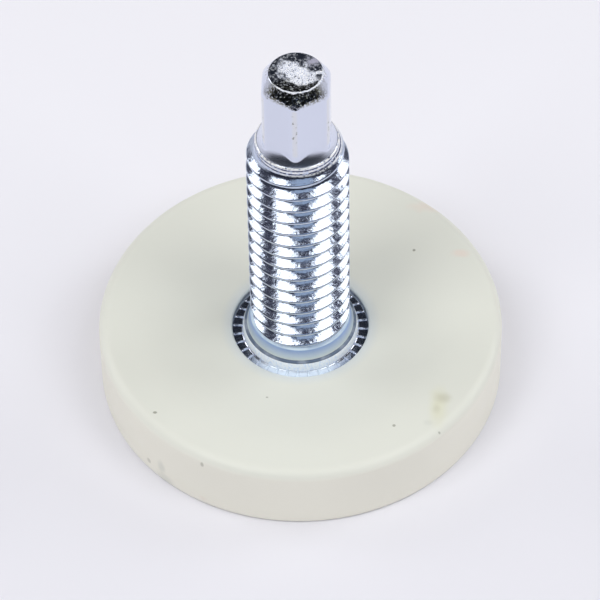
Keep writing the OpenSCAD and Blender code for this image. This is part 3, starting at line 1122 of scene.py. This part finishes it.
class LEG_OT_hex_end(bpy.types.Operator):
    """Makes the hex drive end, with a cove at its foot and a hollow in its end face"""

    bl_idname = "leg.hex_end"
    bl_label = "Hex end"

    def execute(self, context):
        hexagon = context.scene.leg_hex
        base = STUD_BOX[1].z - hexagon.height
        columns = 240
        flat = hexagon.across_flats / 2
        corner = flat / math.cos(math.pi / 6)
        rounding = hexagon.corner_radius

        # Distance to the hex's side in each direction, with its corners rounded
        turns = np.arange(columns) * 360 / columns
        off_flat = np.radians(np.abs(turns % 60 - 30))
        inner_corner = (flat - rounding) / math.cos(math.pi / 6)
        off_corner = math.pi / 6 - off_flat
        reach = np.tan(off_flat) * flat
        on_flat = flat / np.cos(off_flat)
        under = np.clip(rounding**2 - (inner_corner * np.sin(off_corner)) ** 2, 0, None)
        on_corner = inner_corner * np.cos(off_corner) + np.sqrt(under)
        flat_end = (flat - rounding) * math.tan(math.pi / 6)
        hex_radius = np.where(reach < flat_end, on_flat, on_corner)

        # The side: rows are close over the cove and the end chamfer
        top = hexagon.height
        over_cove = np.linspace(0, CLOSE_ROWS[0], 36)[:-1]
        over_flats = np.linspace(*CLOSE_ROWS, 14)[:-1]
        over_chamfer = np.linspace(CLOSE_ROWS[1], top - 0.02 * MM, 48)
        heights = np.concatenate([over_cove, over_flats, over_chamfer])[:, None]
        upright = flat - 0.04 * MM
        spread = corner + hexagon.shoulder_step - upright
        cove_radius = (spread**2 + hexagon.cove**2) / (2 * spread)
        below = np.clip(hexagon.cove - heights, 0, None)
        cove = upright + cove_radius - np.sqrt(cove_radius**2 - below**2)
        cone = hexagon.tip_radius + (top - heights) / math.tan(hexagon.tip_slope)
        side = soft_max(hex_radius[None, :], cove, COVE_ROUNDING)
        side = soft_min(side, cone, CHAMFER_ROUNDING)

        # The end face: an edge, a rim and a hollow, as rings of falling radius
        edge_radius = side[-1]
        rim = hexagon.tip_radius - hexagon.rim_width
        rim_share = rim / hexagon.tip_radius
        on_rim = np.linspace(0.97, rim_share, 6)
        in_hollow = np.linspace(rim_share, 0, 26)[1:]
        shares = np.concatenate([on_rim, in_hollow])[:, None]
        face_radius = shares * edge_radius[None, :]
        ball = (rim**2 + hexagon.hollow**2) / (2 * hexagon.hollow)
        sunk = np.sqrt(np.clip(ball**2 - face_radius**2, 0, None)) - (ball - hexagon.hollow)
        face_height = top - soft_max(sunk, np.zeros_like(sunk), HOLLOW_ROUNDING)

        # Under the side, a plug closes the piece inside the thread
        plug = np.full((1, columns), 2.5 * MM)
        radii = np.vstack([np.zeros((1, columns)), plug, side[:1] * 0.9, side, face_radius])
        plug_heights = np.array([[-0.5], [-0.5], [-0.02]]) * MM
        side_heights = np.vstack([plug_heights, heights])
        lift = np.vstack([np.repeat(side_heights, columns, axis=1), face_height])
        obj = skin("stud_hex_end", radii, lift + base)
        obj.data.transform(Matrix.Rotation(math.radians(30), 4, "Z"))
        material = hex_material(hexagon.color)
        finish_piece(obj, material, STUD)
        return {"FINISHED"}


# ---- Operator: the stage ----


def add_lamp(name, place, size, radiance, color, in_metal):
    """A soft rectangular lamp that faces the leg with a radiance, mirrored by metal or not."""
    lamp = bpy.data.lights.new(name, "AREA")
    lamp.color = color
    lamp.shape = "RECTANGLE"
    lamp.size, lamp.size_y = size
    lamp.energy = radiance * math.pi * size[0] * size[1]
    obj = bpy.data.objects.new(name, lamp)
    obj.location = place
    aim = Vector((0, 0, LAMP_AIM)) - place
    obj.rotation_euler = aim.to_track_quat("-Z", "Y").to_euler()
    obj.visible_glossy = in_metal
    bpy.context.scene.collection.objects.link(obj)


def toward(azimuth, elevation, distance):
    """A point in a direction from the leg, angles in degrees, azimuth from -Y towards +X."""
    a = math.radians(azimuth)
    e = math.radians(elevation)
    return Vector((math.sin(a) * math.cos(e), -math.cos(a) * math.cos(e), math.sin(e))) * distance


WHITE = (1.0, 1.0, 1.0)
COOL = (0.66, 0.80, 1.0)
# Softboxes: name, azimuth and elevation in degrees, width and height in metres, then the
# radiance and colour that metal mirrors, and those that are added for all else
SOFTBOXES = (
    ("Left softbox", -48, 57, 0.20, 0.30, (2.4, WHITE), (2.1, WHITE)),
    ("Right softbox", 62, 57, 0.21, 0.30, (2.4, WHITE), (1.4, WHITE)),
    ("Back left strip", -111, 32, 0.16, 0.28, (2.4, WHITE), (0.5, COOL)),
    ("Back right strip", 114, 30, 0.18, 0.29, (2.4, WHITE), (0.8, COOL)),
    ("Front panel", 8, 47.5, 0.32, 0.215, (0.60, COOL), (0.35, COOL)),
)
LAMP_DISTANCE = 0.5
LAMP_AIM = 0.02
FLOOR_HALF = 0.6
FLOOR_FRONT = -0.11
# Painted shade: the floor's colour in front of the leg
PAINTED_FLOOR_SHADE = (0.72, 0.715, 0.76)
# The world: what lights plain surfaces, what metal mirrors of it, and the share it mirrors
WORLD_LIGHT = (1.0, 0.985, 1.0)
WORLD_MIRRORED = (0.60, 0.72, 1.0)
MIRRORED_SHARE = 0.06


class LEG_OT_stage(bpy.types.Operator):
    """Makes the floor, the light and the camera"""

    bl_idname = "leg.stage"
    bl_label = "Stage"

    def execute(self, context):
        stage = context.scene.leg_stage
        scene = context.scene
        scene.view_settings.view_transform = "Standard"
        self.add_floor(stage)
        self.add_world(scene, stage)
        for name, azimuth, elevation, width, height, mirrored, added in SOFTBOXES:
            place = toward(azimuth, elevation, LAMP_DISTANCE)
            add_lamp(name, place, (width, height), *mirrored, True)
            add_lamp(name + " fill", place, (width, height), *added, False)
        self.add_camera(scene, stage)
        return {"FINISHED"}

    def add_floor(self, stage):
        """A plain pale floor, with painted shade that makes it a little darker in front."""
        mesh = bpy.data.meshes.new("Floor")
        half, front = FLOOR_HALF, FLOOR_FRONT
        corners = [(-half, front, 0), (half, front, 0), (half, half, 0), (-half, half, 0)]
        mesh.from_pydata(corners, [], [(0, 1, 2, 3)])
        floor = bpy.data.objects.new("Floor", mesh)
        bpy.context.scene.collection.objects.link(floor)
        material, tree, shader = new_material("Floor paper")
        front_shade_share = tree.ramp(tree.split(object_place(tree))["Y"], -0.04, 0.04, 0.5, 0.0)
        tint = tree.mix(front_shade_share, stage.floor_color, PAINTED_FLOOR_SHADE)
        tree.fill(shader, {"Base Color": tint, "Roughness": 0.9, "Specular IOR Level": 0.0})
        floor.data.materials.append(material)

    def add_world(self, scene, stage):
        """Even light from all round, and a pale background low down behind the leg."""
        world = bpy.data.worlds.new("Studio")
        world.use_nodes = True
        world.node_tree.nodes.clear()
        tree = Shading(world.node_tree)
        path = tree.node("ShaderNodeLightPath").outputs
        mirrored = tree.larger(path["Is Glossy Ray"], path["Is Transmission Ray"])
        direction = tree.split(tree.node("ShaderNodeTexCoord").outputs["Generated"])
        behind = tree.ramp(direction["Y"], -0.45, 0.0)
        low = tree.ramp(direction["Z"], 0.12, 0.32, 0.75, 0.0)
        backdrop = tree.times(mirrored, tree.times(behind, low))
        share = tree.ramp(mirrored, 0.0, 1.0, 1.0, MIRRORED_SHARE)
        even = {
            "Color": tree.mix(mirrored, WORLD_LIGHT, WORLD_MIRRORED),
            "Strength": tree.times(share, stage.world_strength),
        }
        dim = tree.make("ShaderNodeBackground", even)
        pale = tree.make("ShaderNodeBackground", {"Color": (*stage.floor_color, 1.0)})
        seen = tree.make("ShaderNodeMixShader", {"Fac": tree.larger(path["Is Camera Ray"], backdrop)})
        tree.put(seen.inputs[1], dim.outputs[0])
        tree.put(seen.inputs[2], pale.outputs[0])
        tree.make("ShaderNodeOutputWorld", {"Surface": seen.outputs[0]})
        scene.world = world

    def add_camera(self, scene, stage):
        """The camera, aimed at the leg from a high front view."""
        camera = bpy.data.cameras.new("Camera")
        camera.lens = stage.lens
        camera.sensor_width = 36.0
        camera.clip_start = 0.01
        camera.clip_end = 10.0
        back = toward(math.degrees(stage.azimuth), math.degrees(stage.elevation), 1.0)
        place = back * stage.distance
        view = (Vector((0, 0, stage.aim_height)) - place).normalized()
        level = Vector((math.cos(stage.azimuth), math.sin(stage.azimuth), 0))
        upright = level.cross(view)
        right = level * math.cos(stage.roll) + upright * math.sin(stage.roll)
        up = right.cross(view)
        turn = Matrix((right, up, -view)).transposed().to_4x4()
        obj = bpy.data.objects.new("Camera", camera)
        obj.matrix_world = Matrix.Translation(place) @ turn
        scene.collection.objects.link(obj)
        scene.camera = obj


# ---- Panel and registration ----


PIECES = (
    LEG_OT_plastic_foot,
    LEG_OT_collar,
    LEG_OT_ribs,
    LEG_OT_thread,
    LEG_OT_hex_end,
    LEG_OT_stage,
)


class LEG_PT_panel(bpy.types.Panel):
    """Lists the leg's pieces and its stage"""

    bl_idname = "LEG_PT_panel"
    bl_label = "Leveling leg"
    bl_space_type = "VIEW_3D"
    bl_region_type = "UI"
    bl_category = "Leg"

    def draw(self, context):
        for operator in PIECES:
            self.layout.operator(operator.bl_idname)


def register():
    for group in SETTINGS.values():
        bpy.utils.register_class(group)
    for name, group in SETTINGS.items():
        setattr(bpy.types.Scene, name, bpy.props.PointerProperty(type=group))
    for operator in PIECES:
        bpy.utils.register_class(operator)
    bpy.utils.register_class(LEG_PT_panel)


def unregister():
    bpy.utils.unregister_class(LEG_PT_panel)
    for operator in reversed(PIECES):
        bpy.utils.unregister_class(operator)
    for name, group in SETTINGS.items():
        delattr(bpy.types.Scene, name)
        bpy.utils.unregister_class(group)


def main():
    """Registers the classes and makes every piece."""
    register()
    bpy.ops.leg.plastic_foot()
    bpy.ops.leg.collar()
    bpy.ops.leg.ribs()
    bpy.ops.leg.thread()
    bpy.ops.leg.hex_end()
    bpy.ops.leg.stage()


if __name__ == "__main__":
    main()
